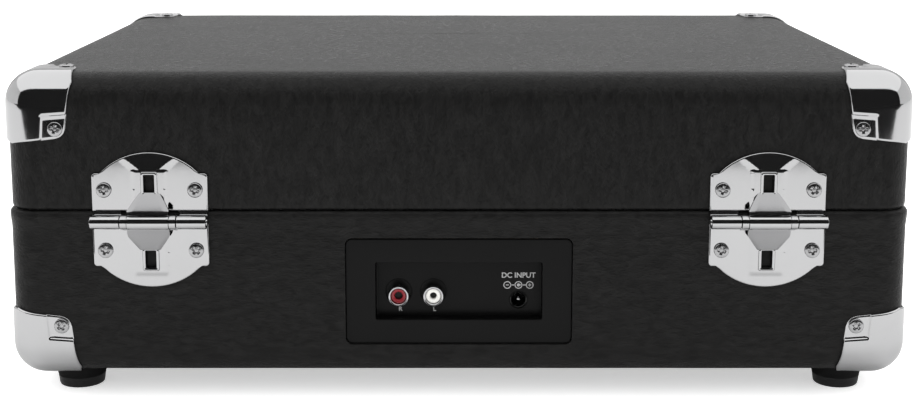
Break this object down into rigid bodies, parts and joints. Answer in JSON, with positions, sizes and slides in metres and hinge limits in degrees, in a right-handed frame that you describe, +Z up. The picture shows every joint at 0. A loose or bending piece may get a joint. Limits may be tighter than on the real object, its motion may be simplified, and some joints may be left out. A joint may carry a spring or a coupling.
{
  "type": "suitcase record player",
  "caption": "Portable belt-driven record player in a black leatherette suitcase with chromed corners, rear hinges, front latches and handle, and a recessed rear jack panel.",
  "frame": {"origin": "middle of the bounding box, at the bottom of the feet", "axes": "+X along the case, +Y to the back with the hinges and the jack panel, +Z up"},
  "size_m": [0.3556, 0.2786, 0.1315],
  "materials": {
    "leatherette": "black grained leatherette, satin",
    "board": "raw fibreboard",
    "lining": "flocked lining paper",
    "chrome": "bright nickel chrome, lightly hammered by pressing",
    "zinc": "plated steel",
    "black_plastic": "fine textured moulding",
    "gloss_plastic": "gloss black moulding",
    "rubber": "matt black rubber",
    "felt": "short pile felt",
    "red_plastic": "gloss red",
    "white_plastic": "gloss white",
    "circuit_board": "green solder mask",
    "brass": "turned brass",
    "paper": "pressed paper pulp",
    "aluminium": "satin anodised"
  },
  "bodies": {
    "case": {"base_leatherette": "leatherette", "base_frame": "board", "base_bottom_panel": "board", "base_corner_guards": "chrome", "base_case_screws": "chrome", "rubber_feet": "rubber", "foot_screws": "zinc", "hinge_base_leaves": "chrome", "hinge_pins": "chrome", "jack_panel": "black_plastic", "jack_board": "circuit_board", "rca_insert_red": "red_plastic", "rca_insert_white": "white_plastic", "rca_shells": "zinc", "dc_jack": "black_plastic", "latch_plates": "chrome", "handle_brackets": "chrome", "deck_plate": "black_plastic", "deck_blocks": "board", "deck_screws": "zinc", "spindle_bush": "brass", "motor_can": "zinc", "drive_belt": "rubber", "tonearm_base": "black_plastic", "tonearm_rest": "black_plastic", "control_bodies": "zinc", "power_led": "red_plastic", "headphone_jack": "zinc", "speaker_grilles": "black_plastic", "speaker_frames": "zinc", "speaker_cones": "paper", "main_board": "circuit_board"},
    "lid": {"lid_leatherette": "leatherette", "lid_frame": "board", "lid_top_panel": "board", "lid_lining": "lining", "lid_corner_guards": "chrome", "lid_case_screws": "chrome", "hinge_lid_leaves": "chrome", "latch_catches": "chrome"},
    "left_latch": {"latch_lever_left": "chrome"},
    "right_latch": {"latch_lever_right": "chrome"},
    "handle": {"handle_grip": "leatherette"},
    "turntable": {"platter": "black_plastic", "slip_mat": "felt", "spindle": "zinc"},
    "pulley": {"motor_pulley": "brass"},
    "arm_pedestal": {"tonearm_yoke": "black_plastic"},
    "arm": {"tonearm_tube": "aluminium", "headshell": "black_plastic", "cartridge": "red_plastic", "counterweight": "zinc"},
    "lift_bar": {"cue_lift": "black_plastic"},
    "lift_lever": {"cue_lever": "zinc"},
    "clip": {"arm_clip": "black_plastic"},
    "speed_slide": {"speed_selector": "gloss_plastic"},
    "stop_slide": {"auto_stop_switch": "gloss_plastic"},
    "volume": {"volume_knob": "gloss_plastic"},
    "function": {"function_knob": "gloss_plastic"},
    "adapter": {"adapter_45": "black_plastic"}
  },
  "joints": [
    {"name": "lid_hinge", "type": "hinge", "parent": "case", "child": "lid", "pos_m": [0, 0.13676, 0.0729], "axis": [-1, 0, 0], "range_deg": [0, 100]},
    {"name": "left_latch_hinge", "type": "hinge", "parent": "case", "child": "left_latch", "pos_m": [0.116, -0.12684, 0.054], "axis": [1, 0, 0], "range_deg": [-5, 100]},
    {"name": "right_latch_hinge", "type": "hinge", "parent": "case", "child": "right_latch", "pos_m": [-0.116, -0.12684, 0.054], "axis": [1, 0, 0], "range_deg": [-5, 100]},
    {"name": "handle_swing", "type": "hinge", "parent": "case", "child": "handle", "pos_m": [0, -0.13174, 0.05], "axis": [-1, 0, 0], "range_deg": [0, 165]},
    {"name": "platter_spin", "type": "hinge", "parent": "case", "child": "turntable", "pos_m": [-0.038, -0.014, 0.074], "axis": [0, 0, -1], "continuous": true},
    {"name": "pulley_spin", "type": "hinge", "parent": "case", "child": "pulley", "pos_m": [-0.086, 0.05, 0.071], "axis": [0, 0, -1], "continuous": true},
    {"name": "arm_swing", "type": "hinge", "parent": "case", "child": "arm_pedestal", "pos_m": [0.112, 0.09, 0.08], "axis": [0, 0, -1], "range_deg": [0, 42]},
    {"name": "arm_tilt", "type": "hinge", "parent": "arm_pedestal", "child": "arm", "pos_m": [0.112, 0.09, 0.092], "axis": [-1, 0, 0], "range_deg": [0, 5]},
    {"name": "lift_rise", "type": "slide", "parent": "case", "child": "lift_bar", "axis": [0, 0, 1], "range_m": [0, 0.002]},
    {"name": "lift_lever_turn", "type": "hinge", "parent": "case", "child": "lift_lever", "pos_m": [0.134, 0.092, 0.084], "axis": [-1, 0, 0], "range_deg": [0, 60]},
    {"name": "clip_turn", "type": "hinge", "parent": "case", "child": "clip", "pos_m": [0.1186, -0.062, 0.0976], "axis": [0, -1, 0], "range_deg": [0, 90]},
    {"name": "speed_slide_travel", "type": "slide", "parent": "case", "child": "speed_slide", "axis": [0, 1, 0], "range_m": [-0.005, 0.005]},
    {"name": "stop_slide_travel", "type": "slide", "parent": "case", "child": "stop_slide", "axis": [0, 1, 0], "range_m": [0, 0.006]},
    {"name": "volume_turn", "type": "hinge", "parent": "case", "child": "volume", "pos_m": [0.15, -0.042, 0.076], "axis": [0, 0, -1], "range_deg": [0, 300]},
    {"name": "function_turn", "type": "hinge", "parent": "case", "child": "function", "pos_m": [0.15, -0.014, 0.076], "axis": [0, 0, -1], "range_deg": [0, 60]},
    {"name": "adapter_lift_off", "type": "slide", "parent": "case", "child": "adapter", "axis": [0, 0, 1], "range_m": [0, 0.03]}
  ],
  "couplings": [
    {"joint": "pulley_spin", "follows": "platter_spin", "ratio": 15},
    {"joint": "arm_tilt", "follows": "lift_lever_turn", "ratio": 0.083332},
    {"joint": "lift_rise", "follows": "lift_lever_turn", "m_per_rad": 0.0019099}
  ]
}
